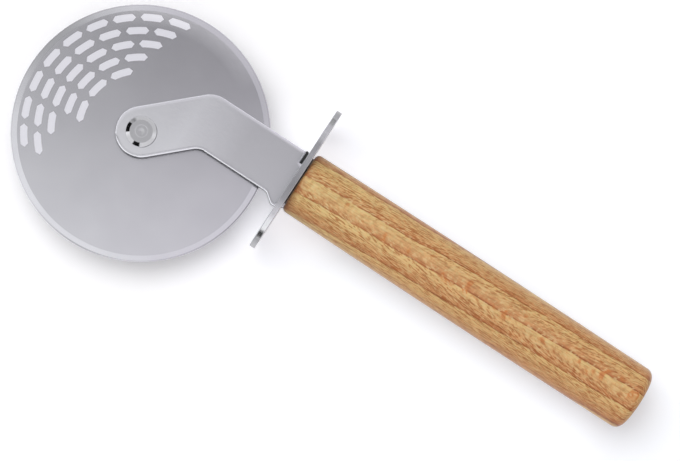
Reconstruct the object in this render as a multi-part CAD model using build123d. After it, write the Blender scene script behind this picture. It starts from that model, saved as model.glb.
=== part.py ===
from build123d import *
from math import cos, radians, sin
import os

# All lengths are in millimetres. The tool lies flat: X runs along the handle towards its butt,
# Z points up out of the blade's plane, and Y is across. Shapes are drawn with the guard's middle
# plane at X = 0 and the handle's axis on Y = Z = 0, and are moved to the resting origin at the end.

# Blade
blade_diameter = 100.0
blade_thickness = 1.0
bevel_width = 2.4
edge_thickness = 0.16
blade_hole_diameter = 10.0

# Pivot, measured from the guard's middle plane and from the handle's axis
pivot_back = 59.8
pivot_drop = 17.35
pivot_play = 0.05
shank_diameter = 6.0

# Arm and tang, one plate
plate_thickness = 2.3
arm_width = 21.5
arm_offset = 0.35
lobe_radius = 10.0
crank_angle = 43.2
outer_bend_radius = 10.0
inner_bend_radius = 6.0
gusset_start = 5.9
gusset_length = 4.0
gusset_drop = 3.1
gusset_blend_radius = 2.0
relief_width = 1.15
shoulder_corner_radius = 0.8
foot_corner_radius = 0.6
lug_shoulder = 1.2
lug_reach = 0.8
lug_rise = 0.25
lug_height = 1.3
root_clearance = 0.1
tang_width = 12.0
tang_length = 115.0
plate_edge_radius = 0.45

# Guard
guard_length = 62.4
guard_height = 27.0
guard_thickness = 2.3
guard_edge_radius = 0.3
guard_slot_clearance = 0.05

# Handle
handle_length = 155.8
handle_front_diameter = 25.7
handle_middle_diameter = 26.7
handle_butt_diameter = 26.2
front_corner_radius = 2.0
butt_corner_radius = 3.5
bond_thickness = 0.5
bond_pad_diameter = 20.6
bond_end_gap = 2.0

# Rivet head, a flat disc with a polished cone round it
head_diameter = 11.8
head_disc_diameter = 8.9
head_height = 1.4
head_land = 0.25
dimple_diameter = 2.6
dimple_depth = 0.3
ring_diameter = 4.8
ring_width = 0.5
ring_depth = 0.08

# Rivet tail
tail_neck_diameter = 4.6
tail_diameter = 8.4
tail_flat_diameter = 4.0
tail_height = 1.3
tail_land = 0.3

# Washers and bush
front_washer_diameter = 17.0
front_washer_thickness = 0.9
rear_washer_diameter = 14.0
rear_washer_thickness = 0.9
bush_flange_diameter = 16.0
bush_flange_thickness = 0.8
washer_edge_chamfer = 0.15

# Length by which a cutting tool passes a face
cut_overrun = 2.0

# Heights along the pivot, worked down from the arm
arm_top = plate_thickness / 2
arm_bottom = -plate_thickness / 2
front_washer_bottom = arm_bottom - front_washer_thickness
blade_top = front_washer_bottom - pivot_play
blade_bottom = blade_top - blade_thickness
bush_bottom = blade_bottom - bush_flange_thickness
rear_washer_top = bush_bottom - pivot_play
rear_washer_bottom = rear_washer_top - rear_washer_thickness

# Positions along the handle
guard_face = guard_thickness / 2
handle_front = guard_face + bond_thickness
handle_butt = handle_front + handle_length
handle_middle = (handle_front + handle_butt) / 2
blade_radius = blade_diameter / 2
pivot = Vector(-pivot_back, -pivot_drop, 0)

# The resting origin: the middle of the tool's outline, on the surface that the guard stands on
origin_x = (handle_butt + pivot.X - blade_radius) / 2
resting_place = Location((-origin_x, -pivot.Y, guard_height / 2))


def turned(points_and_arcs):
    """A solid of revolution about Z from a closed half profile of edges in the XZ plane."""
    profile = make_face(points_and_arcs)
    return revolve(profile, axis=Axis.Z)


def chain(points):
    """Straight edges through points given as (radius, height)."""
    corners = [(radius, 0, height) for radius, height in points]
    return Polyline(*corners).edges()


def at_pivot(shape):
    return Location(pivot) * shape


def ring(outer_diameter, inner_diameter, top, bottom):
    """A flat washer with lightly broken outer edges."""
    middle = (top + bottom) / 2
    disc = Cylinder(outer_diameter / 2, top - bottom)
    disc = chamfer(disc.edges().filter_by(GeomType.CIRCLE), washer_edge_chamfer)
    hole = Cylinder(inner_diameter / 2, top - bottom + cut_overrun)
    return at_pivot(Location((0, 0, middle)) * (disc - hole))


def cutting_wheel():
    middle = (blade_top + blade_bottom) / 2
    flat_radius = blade_radius - bevel_width
    hole_radius = blade_hole_diameter / 2
    profile = chain([
        (hole_radius, blade_bottom),
        (flat_radius, blade_bottom),
        (blade_radius, middle - edge_thickness / 2),
        (blade_radius, middle + edge_thickness / 2),
        (flat_radius, blade_top),
        (hole_radius, blade_top),
        (hole_radius, blade_bottom),
    ])
    return at_pivot(turned(profile))


def wheel_bush():
    bore_radius = shank_diameter / 2 + pivot_play
    sleeve_radius = blade_hole_diameter / 2
    flange_radius = bush_flange_diameter / 2
    profile = chain([
        (bore_radius, bush_bottom),
        (flange_radius - washer_edge_chamfer, bush_bottom),
        (flange_radius, bush_bottom + washer_edge_chamfer),
        (flange_radius, blade_bottom),
        (sleeve_radius, blade_bottom),
        (sleeve_radius, blade_top),
        (bore_radius, blade_top),
        (bore_radius, bush_bottom),
    ])
    return at_pivot(turned(profile))


def lug_bottom():
    """How far below the handle's axis the arm's foot reaches where it passes through the guard."""
    return arm_offset - arm_width / 2 - gusset_drop + lug_shoulder


def arm_outline():
    """The flat outline of the cranked arm and its tang, before the edges are rounded."""
    slope = radians(crank_angle)
    along = Vector(cos(slope), sin(slope), 0)
    across = Vector(-sin(slope), cos(slope), 0)
    upper_edge = arm_offset + arm_width / 2
    lower_edge = arm_offset - arm_width / 2
    half_tang = tang_width / 2
    upper_tangent = pivot + across * lobe_radius
    lower_tangent = pivot - across * lobe_radius
    outer_bend = upper_tangent + along * ((upper_edge - upper_tangent.Y) / along.Y)
    inner_bend = lower_tangent + along * ((lower_edge - lower_tangent.Y) / along.Y)
    shoulder = Vector(-guard_face - relief_width, upper_edge, 0)
    gusset_top = Vector(-guard_face - gusset_start, lower_edge, 0)
    gusset_foot = gusset_top + Vector(gusset_length, -gusset_drop, 0)
    foot = Vector(-guard_face, gusset_foot.Y, 0)
    lug_foot = lug_bottom()
    root = handle_front - root_clearance
    outline = make_face(Polyline(
        foot,
        Vector(-guard_face, lug_foot, 0),
        Vector(guard_face, lug_foot, 0),
        Vector(guard_face + lug_reach, lug_foot + lug_rise, 0),
        Vector(root, lug_foot + lug_height, 0),
        Vector(root, -half_tang, 0),
        Vector(tang_length - guard_face, -half_tang, 0),
        Vector(tang_length - guard_face, half_tang, 0),
        Vector(shoulder.X, half_tang, 0),
        shoulder,
        outer_bend,
        upper_tangent,
        lower_tangent,
        inner_bend,
        gusset_top,
        gusset_foot,
        foot,
    ).edges())
    roundings = [
        (shoulder, shoulder_corner_radius),
        (outer_bend, outer_bend_radius),
        (inner_bend, inner_bend_radius),
        (gusset_top, gusset_blend_radius),
        (gusset_foot, foot_corner_radius),
    ]
    for corner, radius in roundings:
        outline = fillet(outline.vertices().sort_by_distance(corner)[0], radius)
    return outline + Location(pivot) * Circle(lobe_radius)


def arm_plate():
    plate = extrude(arm_outline(), amount=plate_thickness / 2, both=True)
    faces = plate.faces().filter_by(Axis.Z)
    rims = [face.outer_wire().edges() for face in faces]
    outer_edges = [edge for rim in rims for edge in rim if edge.center().X < -guard_face - pivot_play]
    plate = fillet(outer_edges, plate_edge_radius)
    hole = Cylinder(shank_diameter / 2, plate_thickness + cut_overrun)
    return plate - at_pivot(hole)


def guard_plate():
    plate = extrude(Plane.YZ * SlotOverall(guard_length, guard_height), amount=guard_thickness / 2, both=True)
    rims = [face.outer_wire().edges() for face in plate.faces().filter_by(Axis.X)]
    plate = fillet([edge for rim in rims for edge in rim], guard_edge_radius)
    slot_top = tang_width / 2 + guard_slot_clearance
    slot_bottom = lug_bottom() - guard_slot_clearance
    slot_height = plate_thickness + 2 * guard_slot_clearance
    slot = Box(guard_thickness + cut_overrun, slot_top - slot_bottom, slot_height)
    return plate - Location((0, (slot_top + slot_bottom) / 2, 0)) * slot


def tang_pocket():
    """The rounded blind slot cut in the wood, wider than the tang by the resin's thickness."""
    pocket_width = tang_width + plate_thickness + 2 * bond_thickness
    pocket_height = plate_thickness + 2 * bond_thickness
    section = Plane.YZ * SlotOverall(pocket_width, pocket_height)
    pocket_end = tang_length - guard_face + bond_end_gap
    pocket = extrude(section, amount=pocket_end - guard_face)
    return Location((guard_face, 0, 0)) * pocket


def handle():
    middle_radius = handle_middle_diameter / 2
    front_corner = Vector(handle_front, 0, handle_front_diameter / 2)
    butt_corner = Vector(handle_butt, 0, handle_butt_diameter / 2)
    profile = make_face([
        Line((handle_front, 0, 0), front_corner),
        ThreePointArc(front_corner, (handle_middle, 0, middle_radius), butt_corner),
        Line(butt_corner, (handle_butt, 0, 0)),
        Line((handle_butt, 0, 0), (handle_front, 0, 0)),
    ])
    profile = fillet(profile.vertices().sort_by_distance(front_corner)[0], front_corner_radius)
    profile = fillet(profile.vertices().sort_by_distance(butt_corner)[0], butt_corner_radius)
    return revolve(profile, axis=Axis.X) - tang_pocket()


def tang_bond():
    pad = Plane.YZ * Circle(bond_pad_diameter / 2)
    pad = Location((guard_face, 0, 0)) * extrude(pad, amount=bond_thickness)
    return pad + tang_pocket() - arm_plate()


def pivot_rivet():
    head_top = arm_top + head_height
    head_radius = head_diameter / 2
    disc_radius = head_disc_diameter / 2
    ring_radius = ring_diameter / 2
    shank_radius = shank_diameter / 2
    neck_radius = tail_neck_diameter / 2
    tail_radius = tail_diameter / 2
    tail_end = rear_washer_bottom - tail_height
    tail_corner = (tail_radius, 0, rear_washer_bottom - tail_land)
    tail_flat = (tail_flat_diameter / 2, 0, tail_end)
    head_and_stem = chain([
        (0, head_top - dimple_depth),
        (dimple_diameter / 2, head_top),
        (ring_radius - ring_width / 2, head_top),
        (ring_radius, head_top - ring_depth),
        (ring_radius + ring_width / 2, head_top),
        (disc_radius, head_top),
        (head_radius, arm_top + head_land),
        (head_radius, arm_top),
        (shank_radius, arm_top),
        (shank_radius, rear_washer_top),
        (neck_radius, rear_washer_top),
        (neck_radius, rear_washer_bottom),
        (tail_radius, rear_washer_bottom),
        (tail_radius, rear_washer_bottom - tail_land),
    ])
    dome = TangentArc(tail_corner, tail_flat, tangent=(0, 0, -tail_land))
    core = chain([(tail_flat_diameter / 2, tail_end), (0, tail_end), (0, head_top - dimple_depth)])
    return at_pivot(turned([*head_and_stem, dome, *core]))


def front_washer():
    return ring(front_washer_diameter, shank_diameter, arm_bottom, front_washer_bottom)


def rear_washer():
    return ring(rear_washer_diameter, tail_neck_diameter, rear_washer_top, rear_washer_bottom)


pieces = {
    "cutting_wheel": cutting_wheel,
    "wheel_bush": wheel_bush,
    "arm_plate": arm_plate,
    "guard_plate": guard_plate,
    "handle": handle,
    "tang_bond": tang_bond,
    "pivot_rivet": pivot_rivet,
    "front_washer": front_washer,
    "rear_washer": rear_washer,
}

os.makedirs("parts", exist_ok=True)
for name, make in pieces.items():
    solid = resting_place * make()
    export_step(solid, f"parts/{name}.step")
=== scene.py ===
import math

import bpy
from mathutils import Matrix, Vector


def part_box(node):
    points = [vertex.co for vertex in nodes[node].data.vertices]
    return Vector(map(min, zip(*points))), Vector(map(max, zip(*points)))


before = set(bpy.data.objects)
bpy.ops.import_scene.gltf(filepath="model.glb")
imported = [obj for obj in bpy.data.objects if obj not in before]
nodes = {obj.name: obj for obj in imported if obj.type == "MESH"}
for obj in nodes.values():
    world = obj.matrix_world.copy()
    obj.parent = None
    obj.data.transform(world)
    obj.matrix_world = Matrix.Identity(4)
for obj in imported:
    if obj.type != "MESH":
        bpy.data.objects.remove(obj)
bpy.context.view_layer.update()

MM = 0.001

# Landmarks of the CAD frame, in metres
guard_low, guard_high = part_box("guard_plate")
handle_low, handle_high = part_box("handle")
wheel_low, wheel_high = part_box("cutting_wheel")
rivet_low, rivet_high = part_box("pivot_rivet")
arm_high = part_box("arm_plate")[1]
guard_centre = (guard_low + guard_high) / 2
handle_centre = (handle_low + handle_high) / 2
pivot = Vector(((wheel_low.x + wheel_high.x) / 2, (wheel_low.y + wheel_high.y) / 2, wheel_high.z))

# Sizes of the CAD pieces in millimetres, the unit of every material
BEVEL_WIDTH = 2.4
RIM_RADIUS = (wheel_high.x - wheel_low.x) / 2 / MM
BEVEL_RADIUS = RIM_RADIUS - BEVEL_WIDTH
HEAD_RADIUS = (rivet_high.x - rivet_low.x) / 2 / MM
HANDLE_LENGTH = (handle_high.x - handle_low.x) / MM

# The photograph's own directions, laid on the table
PHOTO_TURN = math.radians(33.139)
photo_right = Vector((math.cos(PHOTO_TURN), math.sin(PHOTO_TURN), 0))
photo_up = Vector((-math.sin(PHOTO_TURN), math.cos(PHOTO_TURN), 0))


def colour(tone):
    """Makes a colour of a number or three numbers, and leaves a socket as it is."""
    if isinstance(tone, bpy.types.NodeSocket):
        return tone
    return (tone, tone, tone, 1) if isinstance(tone, (int, float)) else (*tone, 1)


class Graph:
    """Builds one node tree, with links given as inputs by socket name or number."""

    def __init__(self, owner):
        owner.use_nodes = True
        self.tree = owner.node_tree
        self.tree.nodes.clear()

    def add(self, kind, inputs=None, **settings):
        node = self.tree.nodes.new(kind)
        for name, value in settings.items():
            setattr(node, name, value)
        for key, value in (inputs or {}).items():
            if isinstance(value, bpy.types.NodeSocket):
                self.tree.links.new(value, node.inputs[key])
            else:
                node.inputs[key].default_value = value
        return node

    def math(self, operation, *values, clamp=False):
        given = dict(enumerate(values))
        return self.add("ShaderNodeMath", given, operation=operation, use_clamp=clamp).outputs[0]

    def plus(self, a, b):
        return self.math("ADD", a, b)

    def minus(self, a, b):
        return self.math("SUBTRACT", a, b)

    def times(self, a, b):
        return self.math("MULTIPLY", a, b)

    def line(self, value, slope, start, clamp=False):
        """A straight line's height over a value: its slope times the value, and its start."""
        return self.math("MULTIPLY_ADD", value, slope, start, clamp=clamp)

    def spike(self, value, place, reach):
        """One at a place, falling to none within a reach on both sides."""
        off = self.math("ABSOLUTE", self.minus(value, place))
        return self.line(off, -1 / reach, 1.0, clamp=True)

    def ramp(self, value, stops, span=(0, 1), interpolation="LINEAR"):
        """Tones by value. The stops are in the value's own unit, and lie within a span of it."""
        low, high = span
        if span != (0, 1):
            value = self.line(value, 1 / (high - low), -low / (high - low))
        node = self.add("ShaderNodeValToRGB", {0: value})
        band = node.color_ramp
        band.interpolation = interpolation
        while len(band.elements) < len(stops):
            band.elements.new(0.5)
        for element, (place, tone) in zip(band.elements, stops):
            element.position = (place - low) / (high - low)
            element.color = colour(tone)
        return node.outputs[0]

    def wavering(self, noise, low, high):
        """One tone in the lows of a noise and another in its highs."""
        return self.ramp(noise, [(0.3, low), (0.7, high)])

    def mix(self, factor, a, b, blend="MIX"):
        inputs = {0: factor, 6: colour(a), 7: colour(b)}
        return self.add("ShaderNodeMix", inputs, data_type="RGBA", blend_type=blend).outputs[2]

    def tint(self, base, tone):
        return self.mix(1.0, base, tone, "MULTIPLY")

    def brighten(self, base, tone):
        return self.mix(1.0, base, tone, "ADD")

    def axes(self, vector):
        return tuple(self.add("ShaderNodeSeparateXYZ", {0: vector}).outputs)

    def vector(self, *parts):
        return self.add("ShaderNodeCombineXYZ", dict(enumerate(parts))).outputs[0]

    def length(self, vector):
        return self.add("ShaderNodeVectorMath", {0: vector}, operation="LENGTH").outputs["Value"]

    def dot(self, a, b):
        return self.add("ShaderNodeVectorMath", {0: a, 1: b}, operation="DOT_PRODUCT").outputs["Value"]

    def mapping(self, vector, location=(0, 0, 0), scale=(1, 1, 1)):
        inputs = {"Vector": vector, "Location": location, "Scale": scale}
        return self.add("ShaderNodeMapping", inputs).outputs[0]

    def noise(self, vector, scale, detail, roughness, start=(0, 0, 0)):
        """Clouds, finer for a larger scale, which is one number or one for each axis."""
        if not isinstance(scale, (int, float)):
            vector = self.mapping(vector, start, scale)
            scale = 1.0
        return self.add("ShaderNodeTexNoise", {
            "Vector": vector, "Scale": scale, "Detail": detail, "Roughness": roughness,
        }).outputs[0]

    def bump(self, height, strength, distance):
        inputs = {"Height": height, "Strength": strength, "Distance": distance}
        return self.add("ShaderNodeBump", inputs).outputs[0]

    def place(self):
        """The point in the part's own frame, in millimetres."""
        point = self.add("ShaderNodeTexCoord").outputs["Object"]
        return self.mapping(point, scale=(1 / MM, 1 / MM, 1 / MM))

    def from_pivot(self):
        """The way from the rivet's axis to the point, level, in millimetres."""
        return self.mapping(self.place(), (-pivot.x / MM, -pivot.y / MM, 0), (1, 1, 0))

    def facing(self):
        """How far the surface faces along X, Y and Z."""
        return self.axes(self.add("ShaderNodeNewGeometry").outputs["Normal"])

    def surface(self, **sources):
        inputs = {name.replace("_", " "): source for name, source in sources.items()}
        skin = self.add("ShaderNodeBsdfPrincipled", inputs)
        self.add("ShaderNodeOutputMaterial", {0: skin.outputs[0]})


def material(name):
    """A new material, and the graph that is to fill it."""
    made = bpy.data.materials.new(name)
    return made, Graph(made)


# The wheel's etched bars and its tones, in millimetres from its middle and in angles from X
FIRST_ROW = 24.2
ROW_STEP = 5.2
ROWS = 5
BARS_IN_FIRST_ROW = 14.0
MORE_BARS_EACH_ROW = 3.0
BAR_LENGTH = 9.0
BAR_WIDTH = 2.7
BAR_POINT_SLOPE = 0.9
BAR_SOFTNESS = 0.2
BAR_TONE = (0.80, 0.795, 0.84)
BAR_MATTNESS = 0.32
ETCHED_SIDE = math.radians(163.7)
ETCHED_FROM = 20.0
BEVEL_HIGHLIGHT_SIDE = math.radians(99)
BEVEL_HIGHLIGHT_WIDTH = 6.6
BEVEL_HIGHLIGHT_STEP = 0.05
BEVEL_HIGHLIGHT_TONE = (0.97, 0.965, 1.0)
SHADED_BEVEL_SIDE = math.radians(166)
SHADED_BEVEL_TONE = (0.25, 0.25, 0.26)
RIM_LINE_INSET = 0.3
RIM_LINE_REACH = 0.286
RIM_LINE_DEPTH = 0.85
RIM_SHADE_TONE = (0.10, 0.10, 0.11)
RIM_LINE_START_TURNS = -0.4


def etched_bars(graph, radius, turn):
    """One on the pointed bars, which stand in rings on one side of the wheel, and none elsewhere."""
    row = graph.math("FLOOR", graph.line(radius, 1 / ROW_STEP, 0.5 - FIRST_ROW / ROW_STEP))
    row_radius = graph.line(row, ROW_STEP, FIRST_ROW)
    count = graph.line(row, MORE_BARS_EACH_ROW, BARS_IN_FIRST_ROW)
    stagger = graph.times(row, 0.5)
    step = graph.line(turn, count, stagger)
    whole = graph.math("FLOOR", step)
    pitch = graph.math("DIVIDE", graph.times(row_radius, math.tau), count)
    along = graph.math("ABSOLUTE", graph.times(graph.minus(graph.minus(step, whole), 0.5), pitch))
    aside = graph.math("ABSOLUTE", graph.minus(radius, row_radius))

    # Only whole bars, and only those far enough out on the etched side
    bar_turn = graph.math("DIVIDE", graph.minus(graph.plus(whole, 0.5), stagger), count)
    lean = graph.math("COSINE", graph.line(bar_turn, math.tau, -ETCHED_SIDE))
    chosen = graph.math("GREATER_THAN", graph.times(row_radius, lean), ETCHED_FROM)
    in_rows = graph.times(graph.math("GREATER_THAN", row, -0.5), graph.math("LESS_THAN", row, ROWS - 0.5))

    def inside(distance):
        return graph.line(distance, 1 / BAR_SOFTNESS, 0.5, clamp=True)

    point = graph.line(aside, -BAR_POINT_SLOPE, BAR_LENGTH / 2)
    outline = graph.times(inside(graph.minus(BAR_WIDTH / 2, aside)), inside(graph.minus(point, along)))
    return graph.times(outline, graph.times(chosen, in_rows))


def blade_steel():
    """Satin steel with its bars etched pale."""
    made, graph = material("blade_steel")
    place = graph.mapping(graph.place(), -pivot / MM)
    level = graph.from_pivot()
    radius = graph.length(level)
    x, y, _ = graph.axes(level)
    turn = graph.times(graph.math("ARCTAN2", y, x), 1 / math.tau)
    bars = etched_bars(graph, radius, turn)

    def toward(side):
        return graph.math("COSINE", graph.line(turn, math.tau, -side))

    fine = graph.noise(place, scale=1.6, detail=4, roughness=0.6)
    cloud = graph.noise(place, scale=0.045, detail=3, roughness=0.5)
    ground = graph.noise(place, scale=(0.25, 3.0, 1.0), detail=3, roughness=0.6)
    tone = graph.wavering(cloud, (0.60, 0.595, 0.63), (0.64, 0.635, 0.67))
    tone = graph.mix(bars, tone, BAR_TONE)

    # Painted highlight on one side, paler towards the bevel, and painted shade on the bevel on another
    bevel_highlight = graph.times(
        graph.ramp(toward(BEVEL_HIGHLIGHT_SIDE), [(0.72, 0.0), (0.97, 1.0)]),
        graph.ramp(radius, [
            (BEVEL_RADIUS - BEVEL_HIGHLIGHT_WIDTH, 0.0),
            (BEVEL_RADIUS - BEVEL_HIGHLIGHT_STEP, 0.85),
            (BEVEL_RADIUS + BEVEL_HIGHLIGHT_STEP, 0.0),
        ], span=(0, RIM_RADIUS)))
    tone = graph.mix(bevel_highlight, tone, BEVEL_HIGHLIGHT_TONE)
    bevel_shade = graph.times(
        graph.ramp(toward(SHADED_BEVEL_SIDE), [(0.78, 0.0), (0.93, 0.35), (1.0, 0.75)]),
        graph.math("GREATER_THAN", radius, BEVEL_RADIUS))
    tone = graph.mix(bevel_shade, tone, SHADED_BEVEL_TONE)

    # Painted shade: a fine dark line along the rim comes and goes, in shares of a turn from its start
    rim_line = graph.spike(radius, RIM_RADIUS - RIM_LINE_INSET, RIM_LINE_REACH)
    presence = graph.ramp(graph.math("FRACT", graph.minus(turn, RIM_LINE_START_TURNS)), [
        (0.08, 0.1), (0.15, 0.8), (0.17, 0.8), (0.22, 0.2), (0.30, 0.4),
        (0.36, 0.9), (0.42, 1.0), (0.47, 0.3), (0.55, 0.15),
    ])
    rim_depth = graph.times(rim_line, graph.times(presence, RIM_LINE_DEPTH))
    tone = graph.mix(rim_depth, tone, RIM_SHADE_TONE)
    polish = graph.line(bars, BAR_MATTNESS, graph.wavering(ground, 0.185, 0.215))
    graph.surface(Base_Color=tone, Metallic=1.0, Roughness=polish,
                  Normal=graph.bump(fine, strength=0.02, distance=0.03 * MM))
    return made


# The arm's tones, in millimetres
ROUNDING_TONE = (0.96, 0.96, 1.0)
ROUNDING_POLISH = 0.17
BORDER_REACH = 1.9
EDGE_HIGHLIGHT_TONE = (0.93, 0.925, 0.985)
WIDE_EDGE_HIGHLIGHT_TONE = (0.93, 0.92, 0.98)
EDGE_SHADE_TONE = (0.15, 0.15, 0.165)
FOOT_LINE_OUTSET = 0.15
FOOT_LINE_REACH = 0.25
FOOT_SHADE_TONE = (0.06, 0.06, 0.065)
PAINTED_SHADE_STEEL = (0.04, 0.04, 0.043)
WALL_MATTNESS = 0.25
DARK_REVERSE_INSET = 1.0


def rounded_edge(graph):
    """One on the polished roundings along a flat plate's upper edges, none on its faces and walls."""
    return graph.ramp(graph.facing()[2], [(0.15, 0.0), (0.3, 1.0), (0.96, 1.0), (0.995, 0.0)])


def upright_wall(graph):
    """One on the upright walls that the press cut, a half on the reverse, none on the upper face."""
    return graph.ramp(graph.facing()[2], [(-0.2, 0.5), (-0.1, 1.0), (0.1, 1.0), (0.2, 0.0)], span=(-1, 1))


def painted_edge_light(graph, tone):
    """Paints a highlight on the border of the upper face, more widely along the photograph's upper side.

    Along the lower side it paints a fine line of shade inside the border.
    """
    rounded = graph.add("ShaderNodeBevel", {"Radius": BORDER_REACH * MM}, samples=8).outputs[0]
    true_normal = graph.add("ShaderNodeNewGeometry").outputs["True Normal"]
    edge_highlight = graph.ramp(graph.dot(rounded, true_normal), [(0.93, 0.75), (0.985, 0.0)])
    tone = graph.mix(edge_highlight, tone, EDGE_HIGHLIGHT_TONE)
    edge_shade = graph.ramp(graph.dot(rounded, -photo_up), [(0.02, 0.0), (0.08, 0.7), (0.15, 0.0)])
    tone = graph.mix(edge_shade, tone, EDGE_SHADE_TONE)
    wide_edge_highlight = graph.ramp(graph.dot(rounded, photo_up), [(0.01, 0.0), (0.05, 0.7)])
    return graph.mix(wide_edge_highlight, tone, WIDE_EDGE_HIGHLIGHT_TONE)


def arm_steel():
    """Steel brushed lengthwise, with painted shade that makes it darker towards the handle, by X."""
    made, graph = material("arm_steel")
    place = graph.place()
    fine = graph.noise(place, scale=(0.5, 5.0, 1.0), detail=3, roughness=0.6)
    # Painted shade: the steel is painted darker towards the handle
    shade_towards_handle = graph.ramp(graph.axes(place)[0], [
        (-84, 0.79), (-76, 0.79), (-70, 0.82), (-63, 0.755), (-57, 0.71), (-48, 0.62), (-22, 0.57),
    ], span=(-100, 0))
    brushed = graph.wavering(fine, (0.955, 0.955, 0.995), (1.0, 1.0, 1.04))
    edge = rounded_edge(graph)
    tone = graph.mix(edge, graph.tint(brushed, shade_towards_handle), ROUNDING_TONE)
    tone = painted_edge_light(graph, tone)
    # Painted shade: the upright walls are painted near black and the reverse half as dark, and their
    # grazing sheen is taken away as well
    wall = upright_wall(graph)
    tone = graph.mix(wall, tone, PAINTED_SHADE_STEEL)

    # Painted shade: a dark line lies round the rivet's foot, deepest towards the handle
    from_pivot = graph.from_pivot()
    radius = graph.length(from_pivot)
    foot_shade = graph.spike(radius, HEAD_RADIUS + FOOT_LINE_OUTSET, FOOT_LINE_REACH)
    beside = graph.ramp(graph.axes(from_pivot)[0], [(2.0, 0.1), (4.5, 0.8)], span=(0, 10))
    tone = graph.mix(graph.times(foot_shade, beside), tone, FOOT_SHADE_TONE)

    # Painted shade: its reverse is painted dark where it faces the blade
    over_blade = graph.math("LESS_THAN", radius, RIM_RADIUS - DARK_REVERSE_INSET)
    reverse = graph.math("LESS_THAN", graph.facing()[2], -0.9)
    tone = graph.mix(graph.times(over_blade, reverse), tone, PAINTED_SHADE_STEEL)

    satin = graph.wavering(fine, 0.24, 0.27)
    polish = graph.line(wall, WALL_MATTNESS, graph.line(edge, -ROUNDING_POLISH, satin))
    grazing = graph.ramp(wall, [(0.0, 1.0), (1.0, 0.03)])
    graph.surface(Base_Color=tone, Metallic=1.0, Roughness=polish, Specular_Tint=grazing)
    return made


# The guard's tones
BROAD_FACE_TONE = (0.60, 0.60, 0.61)
ROUNDING_MATTNESS = 0.35


def guard_steel():
    """Steel brushed across, with painted reflections of light and shade that come and go along its edge, by
    Y.
    """
    made, graph = material("guard_steel")
    place = graph.place()
    lines = graph.noise(place, scale=(6, 0.4, 0.4), detail=3, roughness=0.6)
    brushed = graph.wavering(lines, (0.955, 0.955, 0.985), (0.995, 0.995, 1.03))
    # Painted reflection: lighter and darker bands along the edge
    painted_reflection = graph.ramp(graph.axes(place)[1], [
        (-13, 0.50), (-11, 0.37), (-9, 0.79), (-2, 0.71), (2, 0.70), (7, 0.41), (13, 0.36),
        (27, 0.50), (32, 0.47), (36, 0.84), (38, 0.55), (42, 0.62), (45, 0.38),
    ], span=(-20, 80))
    sideways = graph.math("ABSOLUTE", graph.facing()[0])
    broad_face = graph.math("GREATER_THAN", sideways, 0.5)
    tone = graph.tint(brushed, graph.mix(broad_face, painted_reflection, BROAD_FACE_TONE))
    rounding = graph.ramp(sideways, [(0.05, 0.0), (0.2, 1.0), (0.9, 1.0), (0.99, 0.0)])
    polish = graph.line(rounding, ROUNDING_MATTNESS, graph.wavering(lines, 0.16, 0.2))
    graph.surface(Base_Color=tone, Metallic=1.0, Roughness=polish)
    return made


# The rivet's head, in millimetres from its middle
DISC_RADIUS = 4.4
CONE_RADIUS = 4.5
CONE_TONE = (0.92, 0.92, 0.96)
CONE_ROUGHNESS = 0.09
DISC_ROUGHNESS = 0.36


def rivet_steel():
    """Polished head round a matt, slightly darker disc."""
    made, graph = material("rivet_steel")
    fine = graph.noise(graph.place(), scale=5.0, detail=3, roughness=0.6)
    radius = graph.length(graph.from_pivot())
    cone = graph.ramp(radius, [(DISC_RADIUS, 0.0), (CONE_RADIUS, 1.0)], span=(0, 10))
    matt = graph.wavering(fine, (0.46, 0.46, 0.475), (0.50, 0.50, 0.515))
    tone = graph.mix(cone, matt, CONE_TONE)
    polish = graph.line(cone, CONE_ROUGHNESS - DISC_ROUGHNESS, DISC_ROUGHNESS)
    graph.surface(Base_Color=tone, Metallic=1.0, Roughness=polish)
    return made


def clouded(name, scale, raggedness, low, high, **settings):
    """A material that wavers between two tones, for a piece that hardly shows."""
    made, graph = material(name)
    cloud = graph.noise(graph.place(), scale, detail=3, roughness=raggedness)
    graph.surface(Base_Color=graph.wavering(cloud, low, high), **settings)
    return made


def washer_steel():
    return clouded("washer_steel", 5.0, 0.6, (0.58, 0.58, 0.60), (0.63, 0.63, 0.65),
                   Metallic=1.0, Roughness=0.3)


def nylon():
    return clouded("nylon", 0.8, 0.5, (0.74, 0.73, 0.68), (0.80, 0.79, 0.75), Roughness=0.45)


# The bond is near-black, partly its own colour and partly painted shade of the thin gap between the guard
# and the handle
def resin():
    return clouded("resin", 1.2, 0.5, (0.018, 0.012, 0.010), (0.032, 0.022, 0.017), Roughness=0.5)


# The wood's growth lines, in millimetres, and the colours of its marks
RING_SPACING = 7.1
RING_SLOPE = 0.0457
RING_SHIFT = -0.05
WARP_HEIGHT = 2.6
WOBBLE_HEIGHT = 0.9
GRAIN_SHIFT = 2.0
FLECK_SPLAY = 0.045
FLECK_SPLAY_GROWTH = 0.00013
BAND_TONE = (0.43, 0.155, 0.045)
LINE_TONE = (0.24, 0.065, 0.012)
FLECK_TONE = (0.31, 0.085, 0.012)
FINE_FLECK_TONE = (0.33, 0.10, 0.018)
PALE_FLECK_TONE = (0.60, 0.405, 0.18)
BLOTCH_TONE = (0.50, 0.17, 0.035)
EDGE_LINE_TONE = (0.30, 0.10, 0.022)


def growth_ring(graph, centre, along, across):
    """From none to one between each growth line and the next, nearly straight and sloping lengthwise."""
    warp = graph.noise(centre, scale=(0.028, 0.10, 0.06), detail=2, roughness=0.5)
    wobble = graph.noise(centre, scale=(0.22, 0.3, 0.3), detail=3, roughness=0.6)
    shift = graph.line(warp, WARP_HEIGHT, graph.line(wobble, WOBBLE_HEIGHT, RING_SHIFT))
    drift = graph.line(along, RING_SLOPE, shift)
    return graph.math("FRACT", graph.times(graph.minus(drift, across), 1 / RING_SPACING))


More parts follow.
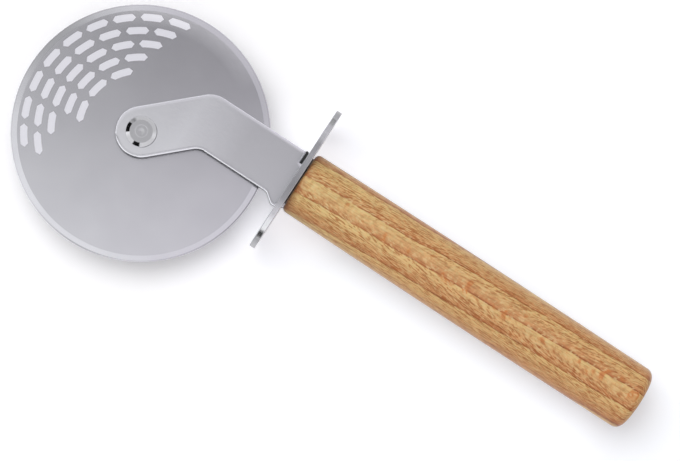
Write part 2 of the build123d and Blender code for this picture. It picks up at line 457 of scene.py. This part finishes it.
def growth_tone(graph, centre, along, ring):
    """Straw to tan across each ring, with a reddish band and a dark line at its end."""
    tone = graph.ramp(ring, [
        (0.0, (0.47, 0.27, 0.085)),
        (0.03, (0.60, 0.395, 0.148)),
        (0.30, (0.57, 0.345, 0.130)),
        (0.62, (0.535, 0.29, 0.108)),
        (1.0, (0.51, 0.25, 0.09)),
    ])
    patches = graph.noise(centre, scale=(0.07, 0.25, 0.25), detail=3, roughness=0.6)
    band = graph.ramp(ring, [(0.60, 0.0), (0.82, 0.4), (0.95, 1.0), (0.985, 0.9), (1.0, 0.2)])
    band_depth = graph.times(
        graph.ramp(patches, [(0.35, 0.3), (0.55, 1.0)]),
        graph.ramp(along, [(10, 0.7), (60, 1.0)], span=(0, 100)))
    tone = graph.mix(graph.times(band, band_depth), tone, BAND_TONE)
    broken = graph.noise(centre, scale=(0.16, 0.3, 0.3), detail=2, roughness=0.6, start=(31, 0, 0))
    line = graph.ramp(ring, [(0.915, 0.0), (0.95, 1.0), (0.985, 1.0), (1.0, 0.0)])
    line_depth = graph.times(
        graph.ramp(broken, [(0.38, 0.35), (0.55, 1.0)]),
        graph.ramp(along, [(10, 0.5), (35, 0.85), (80, 1.0)], span=(0, 100)))
    return graph.mix(graph.times(line, line_depth), tone, LINE_TONE)


def flecked(graph, tone, ring, along, across, height):
    """Dark dashes on the sides, which give way to a few orange cross blotches along the top."""
    splay = graph.times(along, graph.line(along, FLECK_SPLAY_GROWTH, FLECK_SPLAY))
    fan = graph.vector(graph.plus(splay, height), across, along)
    aside = graph.math("ABSOLUTE", across)
    flank = graph.ramp(aside, [(1.2, 0.0), (4.2, 1.0)], span=(0, 10))

    flecks = graph.noise(fan, scale=(3.0, 0.27, 0.20), detail=2, roughness=0.5)
    fleck_mask = graph.times(graph.ramp(flecks, [(0.565, 0.0), (0.605, 1.0)]), flank)
    crowd = graph.ramp(ring, [(0.0, 0.45), (0.3, 0.55), (0.6, 0.85), (0.95, 1.0), (1.0, 0.6)])
    tone = graph.mix(graph.times(fleck_mask, graph.times(crowd, 0.85)), tone, FLECK_TONE)

    blotches = graph.noise(fan, scale=(1.62, 0.162, 0.226), detail=1, roughness=0.5, start=(17, 0, 0))
    blotch_mask = graph.times(
        graph.ramp(blotches, [(0.59, 0.0), (0.69, 0.85)]), graph.ramp(flank, [(0.4, 1.0), (1.0, 0.0)]))
    tone = graph.mix(blotch_mask, tone, BLOTCH_TONE)

    fine_flecks = graph.noise(fan, scale=(4.8, 0.4725, 0.40), detail=2, roughness=0.5)
    fine_mask = graph.times(
        graph.ramp(fine_flecks, [(0.54, 0.0), (0.61, 1.0)]), graph.line(flank, 0.5, 0.25))
    tone = graph.mix(fine_mask, tone, FINE_FLECK_TONE)
    return graph.mix(graph.ramp(fine_flecks, [(0.37, 0.65), (0.46, 0.0)]), tone, PALE_FLECK_TONE)


def beech():
    """Golden wood with sloping growth lines, and with flecks that fan out from the middle."""
    made, graph = material("beech")
    front = Vector((handle_low.x, handle_centre.y, handle_centre.z)) / MM
    centre = graph.mapping(graph.place(), Vector((GRAIN_SHIFT, 0, 0)) - front)
    along, across, height = graph.axes(centre)
    ring = growth_ring(graph, centre, along, across)
    tone = growth_tone(graph, centre, along, ring)
    tone = flecked(graph, tone, ring, along, across, height)

    # Straight fibres, darker ones at the sides, and a faint mottle between pink and straw
    fibres = graph.noise(centre, scale=(0.13, 1.5, 1.5), detail=3, roughness=0.6)
    tone = graph.tint(tone, graph.ramp(fibres, [
        (0.3, (0.74, 0.64, 0.54)), (0.5, (0.98, 0.98, 0.97)), (0.7, (1.08, 1.10, 1.11)),
    ]))
    outer = graph.ramp(graph.math("ABSOLUTE", across), [(6.0, 0.0), (9.5, 1.0)], span=(0, 10))
    edge_lines = graph.times(graph.ramp(fibres, [(0.36, 0.6), (0.43, 0.0)]), outer)
    tone = graph.mix(edge_lines, tone, EDGE_LINE_TONE)
    mottle = graph.noise(centre, scale=(0.9, 1.4, 1.4), detail=2, roughness=0.6)
    tone = graph.tint(tone, graph.ramp(mottle, [(0.35, (1.04, 0.95, 0.97)), (0.65, (0.97, 1.05, 1.10))]))

    # Painted shade in the first millimetres where the wood meets the steel, painted light after it up to 60
    # mm, darker towards the butt end, and painted shade along the lower side
    tone = graph.tint(tone, graph.ramp(along, [
        (2.0, (0.74, 0.64, 0.60)), (5.5, (1.02, 1.13, 1.15)), (22.0, (1.03, 1.12, 1.14)),
        (38.0, (1.03, 1.07, 1.09)), (60.0, 1.0),
        (0.972 * HANDLE_LENGTH, 1.0), (HANDLE_LENGTH, (0.93, 0.88, 0.86)),
    ], span=(0, HANDLE_LENGTH)))
    tone = graph.tint(tone, graph.ramp(across, [(-10, (0.99, 0.96, 0.95)), (-6, 1.0)], span=(-20, 20)))
    graph.surface(Base_Color=tone, Roughness=0.55, Specular_IOR_Level=0.35, Sheen_Weight=0.6,
                  Sheen_Roughness=0.3, Normal=graph.bump(fibres, strength=0.25, distance=0.1 * MM))
    return made


finishes = {
    "cutting_wheel": blade_steel(),
    "arm_plate": arm_steel(),
    "guard_plate": guard_steel(),
    "pivot_rivet": rivet_steel(),
    "front_washer": washer_steel(),
    "wheel_bush": nylon(),
    "tang_bond": resin(),
    "handle": beech(),
}
finishes["rear_washer"] = finishes["front_washer"]

for name, node in nodes.items():
    node.data.materials.clear()
    node.data.materials.append(finishes[name])

# The table's size in metres, and in millimetres the painted shadow, a dark oval of it that shows through
# the arm's slot
TABLE_SIZE = 6.0
SLOT_FROM_GUARD = 0.925
SLOT_FROM_ARM_TOP = 1.45
SLOT_LENGTHWISE_REACH = 1.5
SLOT_CROSSWISE_REACH = 4.17


def table_lift(graph, place):
    """What the table adds for the camera, so that its lit parts come out white. It differs by place, which
    paints light into the shadows.
    """
    lengthwise, crosswise, _ = graph.axes(place)
    lift = graph.ramp(lengthwise, [
        (-50, (0.105, 0.100, 0.100)), (-27.5, (0.17, 0.165, 0.19)), (-10, (0.18, 0.20, 0.24)),
        (10, (0.16, 0.206, 0.248)), (120, (0.16, 0.206, 0.248)), (137.5, (0.08, 0.10, 0.125)),
    ], span=(-110, 140))

    # Painted light: more of it round the guard, most just on the handle's side, where it lightens the
    # guard's shadow
    from_guard = graph.length(graph.mapping(place, -guard_centre / MM))
    round_guard = graph.ramp(from_guard, [(20, 0.19), (37, 0.0)], span=(0, 50))
    beyond_guard = graph.ramp(lengthwise, [
        (-23.75, 1.0), (-22.75, 1.7), (-16.25, 1.4), (-10, 1.0),
    ], span=(-25, 0))
    lift = graph.brighten(lift, graph.tint(round_guard, beyond_guard))

    # Painted light: more in a strip beside the handle's upper side, most by the guard, where it lightens
    # the handle's shadow
    off_axis = graph.minus(crosswise, handle_centre.y / MM)
    strip = graph.ramp(off_axis, [(10, 0.0), (13, 1.0), (19, 0.85), (25, 0.0)], span=(0, 50))
    strip_level = graph.ramp(lengthwise, [
        (-26.5, 0.0), (-25, 0.12), (-18, 0.11), (-4, 0.075), (15, 0.04), (40, 0.025),
    ], span=(-40, 60))
    return graph.brighten(lift, graph.tint(strip, strip_level))


def slot_shade(graph, place):
    """Nearly none in the painted shadow, a dark oval behind the arm's slot, and one elsewhere."""
    centre = Vector((guard_low.x / MM - SLOT_FROM_GUARD, arm_high.y / MM - SLOT_FROM_ARM_TOP, 0))
    scale = Vector((1 / SLOT_LENGTHWISE_REACH, 1 / SLOT_CROSSWISE_REACH, 1))
    distance = graph.length(graph.mapping(place, -centre * scale, scale))
    return graph.ramp(distance, [(0.0, 0.04), (0.85, 0.04), (1.0, 1.0)], interpolation="EASE")


def table_finish():
    """Pale paper to every ray, and a little brighter to the camera."""
    made, graph = material("table")
    place = graph.place()
    cloud = graph.noise(place, scale=0.01, detail=2, roughness=0.5)
    tone = graph.wavering(cloud, (0.88, 0.88, 0.90), (0.90, 0.90, 0.92))
    slot = slot_shade(graph, place)
    paper = graph.add("ShaderNodeBsdfDiffuse", {"Color": graph.tint(tone, slot)}).outputs[0]
    lift = graph.add("ShaderNodeEmission", {"Color": table_lift(graph, place), "Strength": slot}).outputs[0]
    lifted = graph.add("ShaderNodeAddShader", {0: paper, 1: lift}).outputs[0]
    to_camera = graph.add("ShaderNodeLightPath").outputs["Is Camera Ray"]
    chosen = graph.add("ShaderNodeMixShader", {0: to_camera, 1: paper, 2: lifted}).outputs[0]
    graph.add("ShaderNodeOutputMaterial", {0: chosen})
    return made


def plane(name, size, finish):
    bpy.ops.mesh.primitive_plane_add(size=size)
    made = bpy.context.active_object
    made.name = name
    made.data.materials.append(finish)
    return made


table = plane("table", TABLE_SIZE, table_finish())

# Overhead sheet, seen only in the steel, in metres. It has a grey oval where the photographer stands,
# wider than high, and steeper in its upper half
SHEET_SIZE = 1.3
SHEET_SCALE = 0.8825
SHEET_PLACE = Vector((0.003, 0.045, 0.45))
OVAL_MIDDLE = 0.115
OVAL_SIDE_SHIFT = 0.03
OVAL_WIDTH_SHARE = 0.45
OVAL_UPPER_SHARE = 1.4


def sheet_finish():
    """White glow that greys towards the oval's middle."""
    made, graph = material("overhead_sheet")
    x, y, _ = graph.axes(graph.add("ShaderNodeTexCoord").outputs["Object"])
    across = graph.line(x, OVAL_WIDTH_SHARE, OVAL_SIDE_SHIFT)
    above = graph.minus(y, OVAL_MIDDLE)
    along = graph.math("MAXIMUM", above, graph.times(above, OVAL_UPPER_SHARE))
    level = graph.ramp(graph.length(graph.vector(across, along)), [
        (0.0, 0.20), (0.04, 0.39), (0.08, 0.59), (0.12, 0.80), (0.16, 0.92), (0.26, 1.06), (0.5, 1.0),
    ], span=(0, 0.5))

    # It is brighter and cooler to the left, and duller at the top, where only the bevel catches it
    sideways = graph.ramp(x, [
        (-0.32, 1.1412), (-0.24, 1.0706), (-0.16, 1.0706), (-0.09, 0.9941), (-0.05, 0.9235),
    ], span=(-0.5, 0.5))
    upward = graph.ramp(y, [(0.20, 1.0), (0.27, 0.87)])
    level = graph.times(level, graph.times(sideways, upward))
    tint = graph.ramp(x, [(-0.15, (0.975, 0.985, 0.990)), (-0.05, (0.995, 0.980, 1.025))], span=(-0.5, 0.5))
    glow = graph.add("ShaderNodeEmission", {"Color": tint, "Strength": level}).outputs[0]
    graph.add("ShaderNodeOutputMaterial", {0: glow})
    return made


sheet = plane("overhead_sheet", SHEET_SIZE, sheet_finish())
sheet.location = guard_centre + SHEET_PLACE
sheet.rotation_euler = (0, 0, PHOTO_TURN)
sheet.scale = (SHEET_SCALE, SHEET_SCALE, 1)
sheet.visible_camera = False
sheet.visible_diffuse = False
sheet.visible_shadow = False

# Strengths of the light, where one is white
DOME_LEVEL = 0.60
KEY_LEVEL = 2.8
FILL_LEVEL = 0.7
STEEL_DOME_LEVEL = 1.1
STEEL_SHADE_DEPTH = 1.2
OPENING_DEPTH = 0.995

# Where things stand round the object, in degrees from the photograph's right and above the table
KEY_AIM = (122, 56)
FILL_AIM = (250, 20)
OPENING_AIM = (246, 17)
DOORWAY_AIM = (154, 12)
FAR_SIDE_AIM = (57, 15)
NEAR_SIDE_AIM = (235, 15)
RIGHT_CORNER_AIM = (315, 12)
LEFT_CORNER_AIM = (131, 12)


def studio_world():
    """White behind the object, a plain tent with two soft lights, and a tent of its own in the steel."""
    world = bpy.data.worlds.new("studio")
    graph = Graph(world)
    direction = graph.add("ShaderNodeTexCoord").outputs["Generated"]

    def nearness(aim):
        """One straight towards an aim, falling to minus one opposite."""
        turn, elevation = (math.radians(angle) for angle in aim)
        toward = (photo_right * math.cos(turn) + photo_up * math.sin(turn)) * math.cos(elevation)
        toward.z = math.sin(elevation)
        return graph.dot(direction, toward)

    def lamp(aim, edge, level):
        """A soft round light, full in its middle and none beyond the nearness of its edge."""
        inputs = {"Value": nearness(aim), "From Min": edge, "From Max": 1.0, "To Min": 0.0, "To Max": level}
        return graph.add("ShaderNodeMapRange", inputs, interpolation_type="SMOOTHSTEP").outputs[0]

    key = lamp(KEY_AIM, 0.70, KEY_LEVEL)
    fill = lamp(FILL_AIM, 0.3, FILL_LEVEL)
    tent = graph.add("ShaderNodeBackground", {1: graph.plus(graph.plus(key, fill), DOME_LEVEL)})

    # In the steel the tent has two dark openings low down, and two dull sides and corners
    opening = graph.ramp(nearness(OPENING_AIM), [(0.955, 0.0), (0.970, 1.0)])
    doorway = graph.ramp(nearness(DOORWAY_AIM), [(0.930, 0.0), (0.950, 1.0)])
    low_down = graph.ramp(graph.axes(direction)[2], [(0.0, 1.0), (0.45, 1.0), (0.75, 0.0)])
    far_side = graph.ramp(nearness(FAR_SIDE_AIM), [(0.3, 0.0), (0.7, 0.35)])
    near_side = graph.ramp(nearness(NEAR_SIDE_AIM), [(0.55, 0.0), (0.8, 0.25)])
    right_corner = graph.ramp(nearness(RIGHT_CORNER_AIM), [(0.80, 0.0), (0.95, 0.27)])
    left_corner = graph.ramp(nearness(LEFT_CORNER_AIM), [(0.90, 0.0), (0.97, 0.5)])
    sides = graph.plus(graph.plus(far_side, near_side), graph.plus(right_corner, left_corner))
    shaded = graph.line(graph.times(low_down, sides), -STEEL_SHADE_DEPTH, STEEL_DOME_LEVEL)
    closed = graph.line(graph.math("MAXIMUM", opening, doorway), -OPENING_DEPTH, 1.0)
    mirrored = graph.add("ShaderNodeBackground", {1: graph.times(shaded, closed)})

    white = graph.add("ShaderNodeBackground", {0: (1, 1, 1, 1), 1: 1.0})
    path = graph.add("ShaderNodeLightPath").outputs
    lit = graph.add("ShaderNodeMixShader", {
        0: path["Is Glossy Ray"], 1: tent.outputs[0], 2: mirrored.outputs[0],
    })
    chosen = graph.add("ShaderNodeMixShader", {
        0: path["Is Camera Ray"], 1: lit.outputs[0], 2: white.outputs[0],
    })
    graph.add("ShaderNodeOutputWorld", {0: chosen.outputs[0]})
    return world


bpy.context.scene.world = studio_world()

# Camera, over the guard's lower end and aimed at the middle of the tool, in millimetres and degrees,
# and its reach in metres
CAMERA_FROM_GUARD = Vector((6.03, -119.84, 1000))
CAMERA_TURN = (4.802, -4.407, 32.865)
LENS = 138.09
SENSOR_WIDTH = 36
CLIP_END = 20
camera = bpy.data.objects.new("camera", bpy.data.cameras.new("camera"))
bpy.context.scene.collection.objects.link(camera)
camera.location = guard_centre + CAMERA_FROM_GUARD * MM
camera.rotation_euler = [math.radians(angle) for angle in CAMERA_TURN]
camera.data.lens = LENS
camera.data.sensor_width = SENSOR_WIDTH
camera.data.clip_end = CLIP_END
bpy.context.scene.camera = camera
bpy.context.scene.view_settings.view_transform = "Standard"
